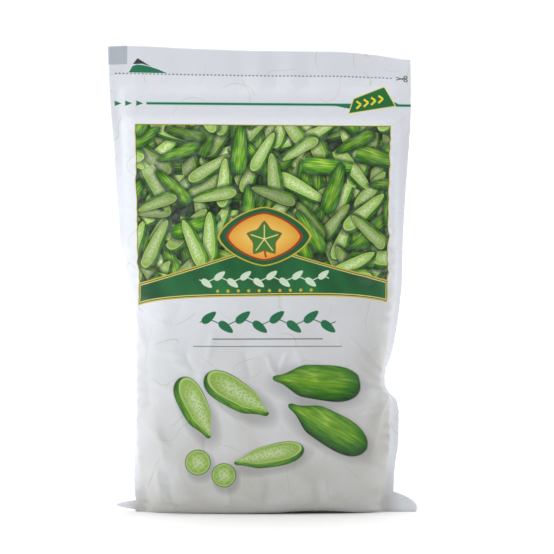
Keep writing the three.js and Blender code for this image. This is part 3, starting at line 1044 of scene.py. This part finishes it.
def back_foot(place, film):
    """A small framed box with thin rules, and a leafy rule under it."""
    x, y = place.parts()
    box = (38 - abs(y - 74)).least(40 - abs(x - 26))
    ruled = 0.16 - abs(((y - 40) / 7).math("FRACT") - 0.5) * 7
    lines = (0.4 - abs(box)).most(ruled.least(box - 3))
    film = inked(film, GREY_INK, lines)
    film = coin_slice(place, film, (-48, 92), 9)
    film = coin_slice(place, film, (-58, 74), 8)
    film = half_gourd(place, film, (-44, 54), 64, (17, 7), -1)
    return vine(place, film, DEEP_GREEN, (0, 22), 63, 10.5, 1.6, (5, 2.4))


# ---- materials ----


def film_material(name, draw):
    """One zone of a film: the paper look with a zone's print over it."""
    material, place = new_material(name)
    looks = {"Base Color": draw(place, fibre_film(place)), **film_surface(place)}
    return finish_material(material, looks)


def zip_material():
    """Clear-white zip plastic: a milky tint that varies a little, with fine lines from the die."""
    material, place = new_material("zip_plastic", "object")
    cloud = place.noise(60.0, 2.0)
    lines = place.placed((0, 0), 0, (0.05, 0.0006)).noise(1.0)
    bump = place.node("Bump", {}, {"Strength": 0.3, "Distance": 0.0002, "Height": lines})
    tint = cloud.ramp([(0.2, rgb(214, 222, 224)), (0.8, rgb(236, 240, 240))])
    looks = {"Base Color": tint, "Roughness": 0.3 + cloud * 0.15, "Normal": bump}
    return finish_material(material, looks)


def gourd_material():
    """Frozen gourd: green flesh with paler seeds, and frost in patches."""
    material, place = new_material("frozen_gourd", "object")
    mottle = place.noise(220.0, 2.0)
    cells = place.node("TexVoronoi", {"voronoi_dimensions": "3D"}, {"Vector": place, "Scale": 420.0})
    frost = place.node("TexNoise", {}, {"Vector": place, "Scale": 90.0, "Detail": 3.0})
    green = mottle.ramp([
        (0.2, rgb(58, 118, 40)), (0.55, rgb(120, 168, 70)), (0.85, rgb(176, 204, 118)),
    ])
    green = over(green, rgb(206, 222, 160), (0.32 - cells).within(0.12) * 0.6)
    icy = (frost - 0.56).within(0.12)
    bump = place.node("Bump", {}, {"Strength": 0.4, "Distance": 0.0004, "Height": frost})
    return finish_material(material, {
        "Base Color": over(green, rgb(226, 236, 226), icy * 0.7),
        "Roughness": 0.38 + icy * 0.35,
        "Normal": bump,
    })


# ---- the pieces ----

FRONT_PRINT = [("header", header_marks), ("panel", front_panel), ("picture", lower_picture)]
BACK_PRINT = [("header", header_marks), ("panel", back_panel), ("foot", back_foot)]


def printed_film(name, node, side, prints):
    """A film in the place of its CAD solid: a material for each printed zone outside, and a plain one
    on its inside and rim."""
    piece = shell_mesh(name, *film_points(side), side)
    for zone, draw in [*prints, ("inside", lambda place, film: film)]:
        piece.data.materials.append(film_material(f"{name}_{zone}", draw))
    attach(piece, "root")
    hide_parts(node)


printed_film("printed_front", "film_front", -1, FRONT_PRINT)
printed_film("printed_back", "film_back", 1, BACK_PRINT)

finishes = {"zip": zip_material(), "gourd": gourd_material()}
for name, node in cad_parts.items():
    kind = name.split("_")[0]
    if kind in finishes:
        node.data.materials.clear()
        node.data.materials.append(finishes[kind])

# ---- camera, floor and light ----

MM_PER_PIXEL = 0.627  # at the pouch's middle
PICTURE_WIDTH = 554
DISTANCE = 1.6
AIM = (0.0095, 0.147)  # the x and height that the camera looks at
WORLD_LIGHT = 0.38

camera_data = bpy.data.cameras.new("camera")
camera = add_object("camera", camera_data)
camera.location = (AIM[0], -DISTANCE, AIM[1])
camera.rotation_euler = (math.pi / 2, 0, 0)
camera_data.sensor_width = 36
camera_data.lens = camera_data.sensor_width * DISTANCE / (PICTURE_WIDTH * MM_PER_PIXEL * MM)
bpy.context.scene.camera = camera


def paper_sweep():
    """A white floor that curves up into a wall behind the pouch: a profile of a level run, a quarter
    circle and a rise, drawn out sideways."""
    front, bend, radius, top, half = -3.0, 1.6, 0.9, 3.2, 4.0
    turn = np.linspace(0, math.pi / 2, 25)
    y = np.concatenate([[front], bend + radius * np.sin(turn), [bend + radius]])
    z = np.concatenate([[0], radius * (1 - np.cos(turn)), [top]])
    points = np.concatenate([np.stack([np.full_like(y, x), y, z], axis=-1) for x in (-half, half)])
    count = len(y)
    low = np.arange(count - 1)
    faces = np.stack([low, low + count, low + count + 1, low + 1], axis=-1)
    mesh = bpy.data.meshes.new("floor")
    mesh.from_pydata(points.tolist(), [], faces.tolist())
    mesh.shade_smooth()
    material, place = new_material("white_paper", "object")
    grain = place.noise(40.0, 2.0).ramp([(0, (0.93, 0.93, 0.93)), (1, (0.97, 0.97, 0.97))])
    mesh.materials.append(finish_material(material, {"Base Color": grain, "Roughness": 0.9}))
    add_object("floor", mesh)


def area_light(name, place, target, size, power):
    data = bpy.data.lights.new(name, "AREA")
    data.shape = "RECTANGLE"
    data.size, data.size_y = size
    data.energy = power
    light = add_object(name, data)
    light.location = place
    light.rotation_euler = (Vector(target) - Vector(place)).to_track_quat("-Z", "Y").to_euler()


paper_sweep()
area_light("key", (-0.9, -0.75, 1.15), (0, 0, 0.15), (0.55, 0.55), 6.9)
area_light("left", (-1.2, -0.1, 0.5), (0, 0, 0.15), (0.5, 0.5), 2.2)
area_light("right", (1.25, -0.08, 0.95), (0, 0, 0.17), (0.5, 0.5), 4.2)
area_light("top", (0, 0.5, 1.9), (0, 0.4, 0), (2.4, 1.6), 24)
area_light("wall", (0, 0.9, 1.6), (0, 2.6, 0.4), (3.0, 0.8), 26)

world = bpy.data.worlds.new("studio")
world.use_nodes = True
background = world.node_tree.nodes["Background"]
background.inputs["Color"].default_value = (1, 1, 1, 1)
background.inputs["Strength"].default_value = WORLD_LIGHT
bpy.context.scene.world = world
bpy.context.scene.view_settings.view_transform = "Standard"
